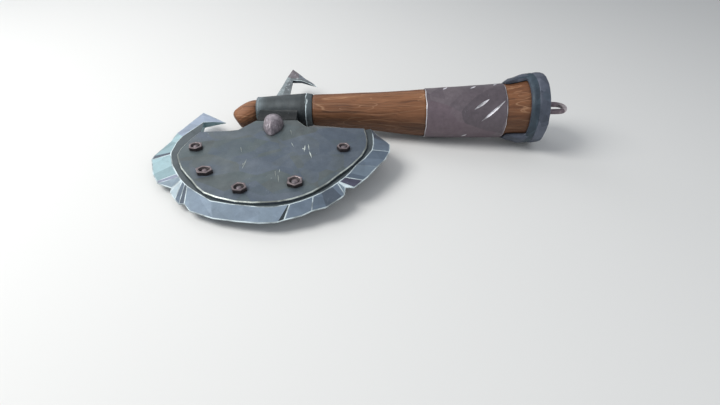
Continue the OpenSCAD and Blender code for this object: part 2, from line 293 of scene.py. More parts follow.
def carved_wood(name):
    """Oiled wood with long streaky grain, pale wavy ridges partly painted as highlights, dark checks, painted
    shade on its underside and painted light towards its tip.
    """
    g = Graph(name)
    waves = g.warped(0.012, 16.0)
    long_grain = g.noise(1.0, 5.0, g.stretch(7.0, 120.0, 120.0, waves), rough=0.6)
    fine_grain = g.noise(1.0, 4.0, g.stretch(26.0, 560.0, 560.0, waves))
    patches = g.noise(1.0, 1.0, g.stretch(9.0, 30.0, 30.0, g.warped(0.02, 10.0)))
    which = g.math("ADD", g.math("MULTIPLY", patches, 0.4), g.math("MULTIPLY", long_grain, 0.6))
    colour = g.ramp(which, [
        (0.30, srgb(88, 54, 34)), (0.44, srgb(116, 74, 46)),
        (0.54, srgb(130, 86, 56)), (0.68, srgb(150, 106, 74))])
    fibres = g.ramp(fine_grain, [(0.3, 0.78), (0.7, 1.16)])
    colour = g.mix(1.0, colour, fibres, "MULTIPLY")
    checks = g.ramp(g.noise(1.0, 3.0, g.stretch(6.0, 150.0, 150.0, waves)), [(0.33, 1.0), (0.40, 0.0)])
    colour = g.mix(g.math("MULTIPLY", checks, 0.62), colour, srgb(56, 33, 22))
    # Pale wavy grain lines, partly painted highlights along the ridges of the grain
    for scale, pale in ((5.0, 0.55), (8.0, 0.40)):
        ridge = g.noise(1.0, 1.0, g.stretch(scale, 11 * scale, 11 * scale, g.warped(0.006, 14.0 + scale)))
        band = g.ramp(ridge, [(0.575, 0.0), (0.587, 1.0), (0.60, 0.0)])
        colour = g.mix(g.math("MULTIPLY", band, pale), colour, srgb(186, 146, 112))
    # Painted shade: the wood darkens where its surface faces down, away from the light
    facing = g.node("ShaderNodeNewGeometry").outputs["Normal"]
    upright = g.node("ShaderNodeSeparateXYZ", {0: facing}).outputs[2]
    colour = g.mix(1.0, colour, g.ramp(upright, [(0.02, 0.56), (0.62, 1.0)]), "MULTIPLY")
    # Painted light: brightens the wood towards the end of the crooked tip
    along = g.node("ShaderNodeSeparateXYZ", {0: g.place}).outputs[0]
    painted_tip_light = g.node("ShaderNodeMapRange", {"Value": along, "From Min": -0.50, "From Max": -0.44,
                                            "To Min": 1.5, "To Max": 1.0}).outputs[0]
    colour = g.mix(1.0, colour, painted_tip_light, "MULTIPLY")
    # Painted shade where other surfaces close in
    colour = g.shaded_corners(colour, 0.014, 0.25)
    g.set("Base Color", colour)
    g.set("Roughness", g.ramp(long_grain, [(0.3, 0.62), (0.7, 0.45)]))
    g.set("Specular IOR Level", 0.4)
    coarse = g.bump(long_grain, 0.0018)
    g.set("Normal", g.bump(fine_grain, 0.0006, coarse))
    return g.material


# ---------------- mesh making

class Shape:
    """Collects one mesh in millimetres. Each face has a material slot and may have a tone of its own."""

    def __init__(self):
        self.points = []
        self.faces = []
        self.slots = []
        self.tones = []
        self.bright = {}
        self.found = {}

    def point(self, x, y, z):
        """Index of the point, made once however often it is asked for."""
        key = (round(x, 3), round(y, 3), round(z, 3))
        if key not in self.found:
            self.found[key] = len(self.points)
            self.points.append(Vector(key))
        return self.found[key]

    def face(self, corners, slot=0, tone=(128, 128, 128)):
        """Adds a face, leaving out corners that fall together."""
        kept = [c for k, c in enumerate(corners) if c != corners[k - 1]]
        if len(set(kept)) > 2:
            self.faces.append(kept)
            self.slots.append(slot)
            self.tones.append(tone)

    def line(self, a, b, width):
        """Marks the edge from a to b to be bright with wear and a painted highlight, width from 0 to 1."""
        self.bright[(min(a, b), max(a, b))] = width

    def loft(self, rings, slots=None, wrap=False, tones=None):
        """Joins rings of points. wrap joins the last ring to the first; otherwise both ends are closed."""
        index = [[self.point(*p) for p in ring] for ring in rings]
        count = len(index[0])
        for k in range(len(index) if wrap else len(index) - 1):
            here, there = index[k], index[(k + 1) % len(index)]
            for j in range(count):
                n = (j + 1) % count
                self.face([here[j], here[n], there[n], there[j]], slots[k] if slots else 0,
                          tones[k] if tones else (128, 128, 128))
        if not wrap:
            self.face(index[0][::-1], slots[0] if slots else 0)
            self.face(index[-1], slots[-1] if slots else 0)

    def mesh_object(self, name):
        """Makes an object of the bare mesh, with its faces' tones."""
        mesh = bpy.data.meshes.new(name)
        mesh.from_pydata([p * MM for p in self.points], [], self.faces)
        tone = mesh.color_attributes.new("tone", "FLOAT_COLOR", "CORNER")
        for face, colour in zip(mesh.polygons, self.tones):
            for loop in face.loop_indices:
                tone.data[loop].color = srgb(*colour)
        return add_object(name, mesh)

    def piece(self, name, nodes, slot, materials, smooth_angle=None):
        """Makes the object, stands it for its CAD nodes and gives it its materials."""
        made = self.mesh_object(name)
        mesh = made.data
        for material in materials:
            mesh.materials.append(material)
        for face, index in zip(mesh.polygons, self.slots):
            face.material_index = index
            face.use_smooth = smooth_angle is not None
        if self.bright:
            weight = mesh.attributes.new("bevel_weight_edge", "FLOAT", "EDGE")
            for edge in mesh.edges:
                weight.data[edge.index].value = self.bright.get(tuple(sorted(edge.vertices)), 0.0)
        bpy.context.view_layer.objects.active = made
        made.select_set(True)
        bpy.ops.object.mode_set(mode="EDIT")
        bpy.ops.mesh.select_all(action="SELECT")
        bpy.ops.mesh.normals_make_consistent(inside=False)
        bpy.ops.object.mode_set(mode="OBJECT")
        made.select_set(False)
        if smooth_angle is not None:
            mesh.set_sharp_from_angle(angle=math.radians(smooth_angle))
        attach(made, "root")
        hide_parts(*nodes)
        return made


def bevel_wear_highlight_edges(piece, width):
    """Blunts the edges marked bright, in the piece's material for wear and painted highlights."""
    bevel = piece.modifiers.new("worn edges", "BEVEL")
    bevel.limit_method = "WEIGHT"
    bevel.width = width * MM
    bevel.segments = 1
    bevel.material = 1


def apply_modifiers(piece):
    evaluated = piece.evaluated_get(bpy.context.evaluated_depsgraph_get())
    mesh = bpy.data.meshes.new_from_object(evaluated)
    piece.modifiers.clear()
    piece.data = mesh


def combine(piece, shape, operation, material):
    """Joins another closed shape to a piece or cuts it out. The faces it brings take the given material."""
    tool = shape.mesh_object("tool")
    tool.data.materials.append(material)
    boolean = piece.modifiers.new("combine", "BOOLEAN")
    boolean.operation = operation
    boolean.solver = "EXACT"
    boolean.use_self = operation == "DIFFERENCE"
    boolean.material_mode = "TRANSFER"
    boolean.object = tool
    apply_modifiers(piece)
    bpy.data.objects.remove(tool)


def cut(piece, cutter, material):
    combine(piece, cutter, "DIFFERENCE", material)


def join(piece, shape):
    """Welds a shape onto a piece, with its own tones, and smooths the whole of it."""
    combine(piece, shape, "UNION", piece.data.materials[0])
    for face in piece.data.polygons:
        face.use_smooth = True
    piece.data.set_sharp_from_angle(angle=math.radians(30))


def polar(centre, radius, level, sides, turn=0):
    """Level ring about an upright axis; radius is a number, or a function of the angle in degrees."""
    ring = []
    for k in range(sides):
        angle = 360 * k / sides
        reach = radius(angle) if callable(radius) else radius
        t = math.radians(angle + turn)
        ring.append((centre[0] + reach * math.cos(t), centre[1] + reach * math.sin(t), level))
    return ring


def add_gouge(shape, line, ups, width, depth):
    """Adds a long cut, pointed at both ends, to a cutting shape. line runs along the surface."""
    line, ups = [Vector(p) for p in line], [Vector(up).normalized() for up in ups]
    first, last = shape.point(*line[0]), shape.point(*line[-1])
    rings = []
    for k in range(1, len(line) - 1):
        along = (line[k + 1] - line[k - 1]).normalized()
        swell = math.sin(math.pi * k / (len(line) - 1))
        side, up = along.cross(ups[k]) * width / 2 * swell, ups[k] * depth
        rings.append([shape.point(*p) for p in (line[k] + side, line[k] + up, line[k] - side,
                                                line[k] - up * swell)])
    for j in range(4):
        n = (j + 1) % 4
        shape.face([first, rings[0][j], rings[0][n]])
        shape.face([last, rings[-1][n], rings[-1][j]])
        for here, there in zip(rings, rings[1:]):
            shape.face([here[j], there[j], there[n], here[n]])


def haft_gouge(shape, start, end, radius, width, depth):
    """Adds a cut between two (station, angle) places on ironwork; its radius is a function of the station."""
    steps = 8
    places = [(start[0] + (end[0] - start[0]) * k / steps, start[1] + (end[1] - start[1]) * k / steps)
              for k in range(steps + 1)]
    line = [about_haft(x, angle, radius(x)) for x, angle in places]
    ups = [Vector(about_haft(x, angle, 1)) - Vector(about_haft(x, angle, 0)) for x, angle in places]
    add_gouge(shape, line, ups, width, depth)


def add_post(shape, centre, radius, low, high):
    shape.loft([polar(centre, radius, level, 24) for level in (low, high)])


def rough_value(seed, x, y=0.0, z=0.0):
    """Smooth random value from about -1 to 1, the same each run."""
    return noise.noise(Vector((x + seed * 7.3, y + seed * 3.1, z + seed * 5.7)))


# ---------------- the haft's line

eye_low, eye_high = node_box("eye_socket")
EYE_FAR, EYE_NEAR = eye_low.x, eye_high.x
EYE_MID = (EYE_FAR + EYE_NEAR) / 2
sleeve_low, sleeve_high = node_box("grip_sleeve")

# How far the hand-shaped haft wanders off its axis: station, towards +Y, towards +Z
WANDER = [
    [EYE_FAR, 0.0, 0.0], [EYE_NEAR, 0.0, 0.0], [-260, -1.6, -2.0], [sleeve_low.x, -2.8, -3.4],
    [-110, -1.8, -2.2], [sleeve_high.x, -0.3, -0.5], [-9, 1.8, 2.8], [9, 2.0, 3.0], [60, 1.2, 1.6]]


def about_haft(x, angle, radius):
    """Point at an angle round the haft's own line; angle 0 faces the cutting edge, 90 the upper cheek."""
    shift_y, shift_z = between(WANDER, x)
    t = math.radians(angle)
    return (x, shift_y - radius * math.cos(t), shift_z + radius * math.sin(t))


def ring_about_haft(stations, sides):
    """Ring whose station and radius are given by a function of the angle."""
    return [about_haft(*stations(a)) for a in [360 * k / sides for k in range(sides)]]


# ---------------- the haft and its wedge

# Radius of the wood at stations along its line
WOOD = [
    [EYE_FAR, 15.2], [EYE_FAR + 6, 17.6], [EYE_NEAR - 0.1, 23.0], [EYE_NEAR + 0.5, 24.6],
    [-330, 26.4], [-300, 28.6], [-250, 32.0], [-210, 35.3], [sleeve_low.x - 2, 37.6],
    [sleeve_low.x + 2, 37.2], [sleeve_high.x - 1, 41.6], [sleeve_high.x + 1, 41.8], [-38, 43.2],
    [-16, 47.0], [2.6, 48.6]]
# The crooked tip: its swing and dip, its length beyond the bend, the bend's station, its radius at the
# eye, and how much that swells on the way
TIP_SWING, TIP_DIP = math.radians(31), math.radians(22)
TIP_LENGTH = 34.5
BEND = -456.0
TIP_RADIUS, TIP_SWELL = 15.8, 2.6


def tip_line(t):
    """Centre of the crooked tip, t from 0 at the eye to 1 at its end."""
    direction = Vector((-math.cos(TIP_DIP) * math.cos(TIP_SWING),
                        -math.cos(TIP_DIP) * math.sin(TIP_SWING), -math.sin(TIP_DIP)))
    start, bend = Vector((EYE_FAR, 0, 0)), Vector((BEND, 0, 0))
    end = bend + direction * TIP_LENGTH
    return start * (1 - t) ** 2 + bend * 2 * t * (1 - t) + end * t * t


def wood_surface(x, angle, radius):
    """Hewn, grooved wood: long grooves of grain on broad worked flats."""
    t = math.radians(angle)
    across, along = (math.cos(t), math.sin(t)), x / 1000
    grain = rough_value(1, along * 9, across[0] * 5.5, across[1] * 5.5)
    fine = rough_value(2, along * 26, across[0] * 17, across[1] * 17)
    flats = abs(rough_value(3, along * 12, across[0] * 1.7, across[1] * 1.7))
    return radius * (1 + 0.012 * grain - 0.028 * flats) + 0.35 * fine


def make_haft(wood):
    """The haft, lofted from the rounded end of its crooked tip to the butt inside the cap."""
    shape = Shape()
    sides = 144
    rings = []
    # Stations along the tip, and how far its rounded end draws in there
    tip_steps = [(1.0, 8.5), (0.985, 4.8), (0.96, 2.4), (0.92, 0.9), (0.87, 0.1)]
    tip_steps += [(k / 12, 0.0) for k in range(9, 0, -1)]
    for t, rounding in tip_steps:
        centre = tip_line(t)
        heading = (tip_line(min(t + 0.02, 1.02)) - tip_line(t - 0.02)).normalized()
        side_y = Vector((0, 1, 0))
        side_y = (side_y - heading * side_y.dot(heading)).normalized()
        side_z = heading.cross(side_y)
        if side_z.z < 0:
            side_z.negate()
        ring = []
        for j in range(sides):
            angle = 360 * j / sides
            radius = wood_surface(centre.x, angle, TIP_RADIUS + TIP_SWELL * math.sin(2.6 * t)) - rounding
            direction = side_y * -math.cos(math.radians(angle)) + side_z * math.sin(math.radians(angle))
            ring.append(tuple(centre + direction * radius))
        rings.append(ring)
    stations = [EYE_FAR + 1.5]
    while stations[-1] < WOOD[-1][0] - 2.5:
        stations.append(stations[-1] + 2.6)
    for x in stations:
        base = between(WOOD, x)[0]
        rings.append(ring_about_haft(lambda a: (x, a, wood_surface(x, a, base)), sides))
    shape.loft(rings)
    shape.piece("haft_carved", ["haft"], "haft_wood", [wood], 50)


# ---------------- the eye socket

# Dark tone of the collar's bore, also used as painted shade on the web's two ends
COLLAR_DARK = (50, 56, 59)
# Tone of the collar along it, from its far end to its near end; its darkening towards the near end is painted
# shade
COLLAR_TONE = [[0.0, 112], [0.05, 116], [0.12, 88], [0.22, 73], [0.5, 68], [0.75, 60], [0.88, 52],
               [0.90, 88], [1.0, 84]]
# The collar's outer radius along it
COLLAR_RADIUS = [[0.042, 20.7], [0.2, 21.9], [0.45, 23.6], [0.7, 25.3], [0.888, 26.7]]
# Where the bright, ragged ridge near its butt end lies along it
COLLAR_RIDGE = (0.888, 0.903)
# The nicks in that ridge: where along the collar they lie, their radius, width and depth, and for each
# its angle and half its sweep
NICK_SHARE, NICK_RADIUS, NICK_WIDTH, NICK_DEPTH = 0.90, 26.8, 5.4, 1.2
NICKS = [(58, 13), (118, 6), (200, 7)]
# The lug that carries the blade, about the eye's middle
LUG_LEFT, LUG_RIGHT, LUG_TOP, LUG_FOOT = -30, 10, -40, -82


def grey_green(level):
    return (0.91 * level, level, 1.04 * level)


def make_socket(toned, wear_highlight):
    """Tapered tube with a rolled far rim, a chamfer at its near end, and the web and lug of the blade."""
    shape = Shape()
    sides = 96
    length = EYE_NEAR - EYE_FAR
    # Outer profile, then back along the bore: share of the length, radius, slot of the band after it
    profile = [[0.000, 19.4, 0], [0.010, 20.7, 0], [0.034, 21.1, 1]]
    profile += [[share, between(COLLAR_RADIUS, share)[0], 0] for share in
                [0.042, 0.07, 0.10, 0.13, 0.16, 0.20, 0.25, 0.32, 0.45, 0.58, 0.70, 0.80, 0.87]]
    profile += [[COLLAR_RIDGE[0], 26.7, 1], [COLLAR_RIDGE[1], 27.0, 0], [0.985, 25.9, 0], [1.000, 25.2, 0],
                [0.998, 23.5, 0], [0.500, 20.6, 0], [0.002, 17.7, 0]]
    outer = len(profile) - 3
    rings = []
    for k, (share, radius, _) in enumerate(profile):
        x = EYE_FAR + share * length

        def station(angle):
            wobble = rough_value(4, x / 60, angle / 40) if k < outer else 0
            edge = rough_value(5, angle / 24, x / 90) * (0.9 if share in COLLAR_RIDGE else 0.3)
            return (x + edge, angle, radius + 0.22 * wobble)
        rings.append(ring_about_haft(station, sides))
    tones = [grey_green(between(COLLAR_TONE, share)[0]) if k < outer else COLLAR_DARK
             for k, (share, _, _) in enumerate(profile)]
    shape.loft(rings, [row[2] for row in profile], True, tones)
    socket = shape.piece("eye_socket_forged", ["eye_socket"], "socket_steel", [toned, wear_highlight], 40)

    lug = Shape()
    corners = [(LUG_LEFT, LUG_FOOT), (LUG_RIGHT, LUG_FOOT), (LUG_RIGHT, LUG_TOP), (LUG_LEFT, LUG_TOP)]
    lug.loft([[(*about_eye(corner), side * CORE_HALF) for corner in corners] for side in (-1, 1)])
    join(socket, lug)
    join(socket, web_shape(length))

    nick = Shape()
    x = EYE_FAR + NICK_SHARE * length
    for angle, sweep in NICKS:
        haft_gouge(nick, (x, angle - sweep), (x + 0.5, angle + sweep), lambda _: NICK_RADIUS,
                   NICK_WIDTH, NICK_DEPTH)
    cut(socket, nick, wear_highlight)


# The web: its first station about the eye's middle and its length, the depth of its foot at each end,
# how fast its flank levels out, and how many rings, steps down a flank and steps round the bore it has
WEB_START, WEB_LENGTH = -38, 60.4
WEB_FOOT, WEB_FOOT_RISE = 48.6, 1.7
WEB_FALL = 2.4
WEB_RINGS, WEB_STEPS, WEB_ARC = 8, 9, 8
# How far it stands proud of the collar, and the depth and height it leaves the collar at, as shares of
# the radius
WEB_PROUD, WEB_LEAVES = 0.15, (0.88, 0.475)
# Its painted shade: its tone beside the collar and at its darkest, the depth where it begins to darken, and
# how fast
WEB_LIGHT, WEB_DARK = 43, 29
WEB_SHADE_DEPTH, WEB_SHADE_RATE = 21, 0.9


def web_shape(length):
    """Web that leaves the collar's surface in a smooth curve and comes down flush with the cheek plates."""
    web = Shape()
    rings = []
    for k in range(WEB_RINGS + 1):
        x = EYE_MID + (WEB_START + WEB_LENGTH * k / WEB_RINGS)
        radius = between(COLLAR_RADIUS, (x - EYE_FAR) / length)[0] + WEB_PROUD
        start = [share * radius for share in WEB_LEAVES]
        foot = (WEB_FOOT - WEB_FOOT_RISE * k / WEB_RINGS, CHEEK_TOP + 0.1)
        flank = []
        for j in range(WEB_STEPS + 1):
            depth = start[0] + (foot[0] - start[0]) * (j / WEB_STEPS) ** 1.6
            flank.append((depth, foot[1] + (start[1] - foot[1]) * math.exp(-(depth - start[0]) / WEB_FALL)))
        # Half way through the collar's wall
        wall = 0.5 * (radius + 18.5 + (radius - 21) * 0.8)
        inner = [(wall * math.cos(t), wall * math.sin(t))
                 for t in [math.radians(-37 + 74 * j / WEB_ARC) for j in range(WEB_ARC + 1)]]
        section = flank + [(y, -z) for y, z in flank[::-1]] + inner
        rings.append([(x, -y, z) for y, z in section])
    web.loft(rings)
    # Painted shade: the flanks darken from the collar down to the plates, and the two ends are painted dark
    # as shade
    for k, face in enumerate(web.faces):
        depth = -sum(web.points[v].y for v in face) / len(face)
        web.tones[k] = grey_green(max(WEB_LIGHT - max(depth - WEB_SHADE_DEPTH, 0) * WEB_SHADE_RATE, WEB_DARK))
    web.tones[-2:] = [COLLAR_DARK, COLLAR_DARK]
    return web


# ---------------- the blade

BLADE_X, BLADE_Y = EYE_MID, -112.0
CORE_HALF, CHEEK_TOP = 5.0, 9.0
EDGE_HALF = 0.5

# Facet tones of the blade, partly the steel's own tones and partly painted light and shade: the lighter
# facets, white and frost most, are painted light and the darker ones painted shade; deep is painted shade in
# a crack, and band is painted shade on the flat between the plates and the bevel
TONES = {
    "band": (70, 79, 83), "white": (206, 220, 226), "frost": (180, 196, 204), "pale": (160, 188, 194),
    "ice": (140, 166, 172), "mist": (134, 150, 162), "steel": (120, 135, 149), "dim": (108, 122, 137),
    "slate": (97, 111, 126), "shade": (82, 92, 104), "plum": (80, 80, 98), "lilac": (138, 144, 164),
    "deep": (44, 52, 56), "fair": (123, 138, 153), "haze": (150, 163, 182)}

# The bevel, facet by facet, as directions and radii about the blade's centre: on the band, on the
# cutting edge, the tone of the facet that follows, with painted light and shade in it, and how bright
# wear and a painted highlight make the crease at its start
BEVEL = [
    [152, 137.4, 142, 167.4, "haze", 0.6],
    [171, 144.5, 166, 161.5, "pale", 0],
    [178, 146.5, 174, 160, "ice", 0],
    [187.6, 148, 187.5, 173.4, "shade", 0],
    [189.7, 147.7, 190.5, 175.6, "pale", 0.7],
    [201, 144.8, 203, 172.8, "ice", 0],
    [210, 142.6, 209, 170.6, "lilac", 0.6],
    [213.5, 142.2, 210.7, 170.8, "mist", 0.5],
    [216.7, 142.5, 217.9, 158.5, "white", 0.9],
    [217.5, 142.5, 220.4, 163.3, "frost", 0.9],
    [217.9, 142.5, 226.8, 166.1, "slate", 1],
    [221, 142.3, 230.9, 168, "shade", 0.5],
    [223.6, 142.2, 232.8, 163.6, "steel", 0.7],
    [231.5, 141.5, 238.5, 169, "fair", 0],
    [243, 144.2, 250, 167.5, "steel", 0],
    [254, 140.4, 260, 165.3, "fair", 0],
    [268.4, 140.1, 270, 166.3, "steel", 0],
    [276, 140.9, 275.5, 166.4, "fair", 0],
    [283.7, 139.5, 277.9, 165.8, "deep", 0],
    [284.3, 139.4, 280.6, 163.2, "dim", 0.9],
    [290, 137.4, 288.3, 161.2, "dim", 0],
    [297.6, 134.9, 293.4, 156.7, "slate", 0.6],
    [303, 133.2, 300.4, 158.4, "shade", 0],
    [310.5, 130.8, 310.6, 152.9, "dim", 0],
    [315.4, 129.3, 312.9, 151, "mist", 1],
    [315.8, 129.2, 317, 140.5, "white", 1],
    [316.4, 129.1, 319.9, 149.9, "plum", 1],
    [322, 128.6, 327.6, 150, "slate", 0.8],
    [327, 128, 331.2, 151.3, "steel", 0],
    [335.9, 127.2, 341.9, 154.4, "dim", 0.3],
    [345, 133, 348.6, 160.7, "slate", 0],
    [354.4, 139.5, 356.1, 165.5, "dim", 0.5],
    [361, 140.8, 362.2, 166.5, "slate", 0],
    [367.6, 142.1, 364.9, 162.8, "shade", 0],
    [372, 143.3, 371.6, 152.9, "slate", 0],
    [377.6, 144.5, 380.7, 147.4, "slate", 0]]

# Corners about the eye's middle, from the butt side to the tip side
SHOULDERS = [[127, -72], [40, -67], [24, -47], [-40, -49], [-62, -76], [-76, -79]]
# The cheek plates' rim, as direction and radius about the blade's centre
PLATE_RIM = [
    [165.7, 121.7], [176, 127.5], [186, 134.5], [193, 138.5], [200, 136.8], [208, 136],
    [216, 134.6], [223, 134.5], [230, 137.6], [237, 140], [245, 139.5], [256, 138.9],
    [265, 137.8], [272, 136.5], [279, 136.4], [286, 135.2], [292, 133.2], [298, 131],
    [309, 126.3], [320, 122.4], [327, 123.2], [334, 125], [345, 129], [354, 132],
    [361.5, 132.8], [369, 133.2], [376.9, 134.3]]


def toward(start, end, distance):
    """Point moved from one place towards another, no further than a little short of half way."""
    way = Vector(end) - Vector(start)
    return Vector(start) + way.normalized() * min(distance, 0.45 * way.length)


def inset(outline, distance):
    """Outline drawn in by a distance, along the bisector at each corner."""
    area = sum(a[0] * b[1] - b[0] * a[1] for a, b in zip(outline, outline[1:] + outline[:1]))
    turn = 1 if area > 0 else -1
    out = []
    for k, corner in enumerate(outline):
        here = Vector(corner)
        before = (here - Vector(outline[k - 1])).normalized()
        after = (Vector(outline[(k + 1) % len(outline)]) - here).normalized()
        inward = (Vector((-before.y, before.x)) + Vector((-after.y, after.x))) * turn
        out.append(here + inward.normalized() * distance / max(inward.length / 2, 0.5))
    return out


def about_blade(angle, radius):
    t = math.radians(angle)
    return (BLADE_X + radius * math.cos(t), BLADE_Y + radius * math.sin(t))


def about_eye(corner):
    return (EYE_MID + corner[0], corner[1])


# Widths of the bright lines along the bevel's top, the cutting edge and the brightest crease
RIM_LINE, EDGE_LINE, CREASE_LINE = 1.6, 1.3, 2.2
# The horn's tip and the inside of its hook, about the eye's middle, and half the thickness at the hook
HORN_TIP, HORN_HOOK, HORN_HALF = (-89, -42), (-106, -44), 3.2
# Gap round the lug in the core's slot, and where the slot opens on the shoulder at each side of the lug
SLOT_GAP = 0.3
SLOT_MOUTH_RIGHT, SLOT_MOUTH_LEFT = -47.3, -48.8
# The core's corner past the cheek plates, about the eye's middle
CORE_CORNER = (-118, -80)


def blade_facets(side):
    """The bevel's facets on one side: the corners of each, moved in from its creases, and its tone."""
    band = [Vector((*about_blade(row[0], row[1]), side * CORE_HALF)) for row in BEVEL]
    edge = [Vector((*about_blade(row[2], row[3]), side * EDGE_HALF)) for row in BEVEL]
    facets = []
    for k in range(len(BEVEL) - 1):
        here, there = BEVEL[k][5] * CREASE_LINE / 2, BEVEL[k + 1][5] * CREASE_LINE / 2
        corners = [toward(band[k], band[k + 1], here), toward(edge[k], edge[k + 1], here),
                   toward(edge[k + 1], edge[k], there), toward(band[k + 1], band[k], there)]
        facets.append((corners, BEVEL[k][4]))
    return facets


def make_blade(toned, wear_highlight):
    """The core: a flat with the lug's slot in it, and a bevel of facets down to the cutting edge.

    Bright lines run where the steel is rubbed bare and lit with a painted highlight: along the bevel's top,
    its creases and the edge."""
    shape = Shape()
    slot_left, slot_right, slot_foot = LUG_LEFT - SLOT_GAP, LUG_RIGHT + SLOT_GAP, LUG_FOOT - SLOT_GAP
    lug_slot = [(slot_right, SLOT_MOUTH_RIGHT), (slot_right, slot_foot), (slot_left, slot_foot),
                (slot_left, SLOT_MOUTH_LEFT)]
    shoulders = SHOULDERS[:3] + lug_slot + SHOULDERS[3:] + [CORE_CORNER]
    sides = {}
    for side in (1, -1):
        band, edge = [], []
        last = None
        for (a, b, c, d), tone in blade_facets(side):
            rows = [[a, toward(a, b, RIM_LINE), toward(b, a, EDGE_LINE), b],
                    [d, toward(d, c, RIM_LINE), toward(c, d, EDGE_LINE), c]]
            near, far = ([shape.point(*p) for p in row] for row in rows)
            for k, (slot, name) in enumerate(((1, tone), (0, tone), (1, tone))):
                shape.face([near[k], near[k + 1], far[k + 1], far[k]], slot, TONES[name])
                if last:
                    shape.face([last[k], last[k + 1], near[k + 1], near[k]], 1)
            band += [near[0], far[0]]
            edge += [near[3], far[3]]
            last = far
        band = [v for k, v in enumerate(band) if k == 0 or v != band[k - 1]]
        edge = [v for k, v in enumerate(edge) if k == 0 or v != edge[k - 1]]
        back = [shape.point(*about_eye(c), side * CORE_HALF) for c in shoulders]
        beak = [shape.point(*about_eye(HORN_HOOK), side * HORN_HALF),
                shape.point(*about_eye(HORN_TIP), side * EDGE_HALF)]
        shape.face(band + back, 0, TONES["band"])
        horn = [shape.points[v] for v in (band[0], beak[0], beak[1], edge[0])]
        inner = [shape.point(*toward(horn[k], horn[3 - k], RIM_LINE)) for k in range(4)]
        shape.face([band[0], beak[0], inner[1], inner[0]], 1)
        shape.face(inner, 0, TONES["haze"])
        shape.face([inner[3], inner[2], beak[1], edge[0]], 1)
        shape.face([beak[0], beak[1], inner[2], inner[1]], 1)
        shape.face([band[0], inner[0], inner[3], edge[0]], 1)
        sides[side] = (edge, [edge[-1], band[-1]] + back + [band[0], beak[0], beak[1], edge[0]])
    for k in range(len(sides[1][0]) - 1):
        shape.face([sides[1][0][k], sides[-1][0][k], sides[-1][0][k + 1], sides[1][0][k + 1]], 1)
    upper, lower = sides[1][1], sides[-1][1]
    for k in range(len(upper) - 1):
        shape.face([upper[k], lower[k], lower[k + 1], upper[k + 1]], 0, TONES["ice"])
    shape.piece("blade_forged", ["blade_core"], "core_steel", [toned, wear_highlight])


CHAMFER = 1.5
# Radii of the holes for a bolt and for the stud, a level past every plate, and the depth of a scratch
BOLT_BORE, STUD_BORE = 6.2, 7.2
THROUGH = 12
SCRATCH_DEPTH = 0.4


def make_cheek(name, node, side, steel, wear_highlight, scratches):
    """One cheek plate with a bright chamfer round its rim, rubbed by wear and lit with a painted highlight,
    drilled for the bolts and the stud.
    """
    shape = Shape()
    outline = [about_blade(*corner) for corner in PLATE_RIM] + [about_eye(c) for c in SHOULDERS]
    drawn_in = inset(outline, CHAMFER)
    levels = [(outline, CORE_HALF), (outline, CHEEK_TOP - 0.7 * CHAMFER), (drawn_in, CHEEK_TOP)]
    rings = [[shape.point(x, y, side * z) for x, y in line] for line, z in levels]
    shape.face(rings[0])
    shape.face(rings[2])
    count = len(outline)
    neck = len(PLATE_RIM) + 2   # the stretch of the rim that meets the web gets no bright wear and painted highlight
    for k in range(count):
        n = (k + 1) % count
        shape.face([rings[0][k], rings[0][n], rings[1][n], rings[1][k]])
        shape.face([rings[1][k], rings[1][n], rings[2][n], rings[2][k]], 0 if k == neck else 1)
    plate = shape.piece(name, [node], "cheek_steel", [steel, wear_highlight])
    holes = Shape()
    for k in range(1, 6):
        add_post(holes, node_centre(f"plate_bolt_{k}"), BOLT_BORE, -THROUGH, THROUGH)
    add_post(holes, node_centre("stud_rove"), STUD_BORE, -THROUGH, THROUGH)
    cut(plate, holes, steel)
    marks = Shape()
    for start, end, width in scratches:
        a, b = Vector((*about_eye(start), side * CHEEK_TOP)), Vector((*about_eye(end), side * CHEEK_TOP))
        add_gouge(marks, [a, a.lerp(b, 0.4), b], [(0, 0, 1)] * 3, 1.3 * width, SCRATCH_DEPTH)
    cut(plate, marks, wear_highlight)


# ---------------- bolts, nuts and the stud

def hex_radius(angle, flats):
    """Distance from the middle of a hexagon to its side, in a direction given in degrees."""
    off = (angle + 30) % 60 - 30
    return flats / 2 / math.cos(math.radians(off))


# For each nut: turn, size along its long way, size across it
NUTS = [[14, 0.90, 0.80], [22, 1.06, 0.78], [21, 0.92, 0.86], [3, 1.0, 1.0], [33, 0.84, 0.82]]
FLATS = 19.0


def make_nut(index, iron, shaded_iron, wear_highlight):
    """Hand-forged nut: painted shade on its sides and in its dish, a brow rubbed bright by wear with a
    painted highlight, a raised rim and a dished middle.
    """
    centre = node_centre(f"plate_nut_{index}")
    turn, long, wide = NUTS[index - 1]
    low, high = node_box(f"plate_nut_{index}")
    base, top = low.z, high.z - 0.8
    bore = 5.0
    # Level, share of the way from the bore to the outside, how square the ring is, slot after it
    profile = [
        [base, 1.04, 1.0, 1], [top - 0.9, 1.04, 1.0, 2], [top - 0.1, 0.92, 1.0, 0],
        [top, 0.60, 0.75, 2], [top - 0.5, 0.46, 0.6, 1],
        [top - 2.2, 0.20, 0.3, 1], [top - 2.8, 0.0, 0.0, 1], [base, 0.0, 0.0, 1]]
    shape = Shape()
    sides = 48
    rings = []
    for level, share, square, _ in profile:
        ring = []
        for j in range(sides):
            angle = 360 * j / sides
            hexagon = hex_radius(angle, FLATS) * (1 + 0.05 * rough_value(index, angle / 70))
            outside = FLATS / 2 * (1 - square) + hexagon * square
            radius = bore + (outside - bore) * share
            t = math.radians(angle + turn)
            x, y = radius * math.cos(t), radius * math.sin(t)
            lift = 0.5 * rough_value(index + 10, x / 9, y / 9) if level > base + 1 else 0
            ring.append((centre.x + x * long, centre.y + y * wide, level + lift))
        rings.append(ring)
    shape.loft(rings, [row[3] for row in profile], wrap=True)
    shape.piece(f"nut_{index}", [f"plate_nut_{index}"], "nut_iron", [iron, shaded_iron, wear_highlight], 28)


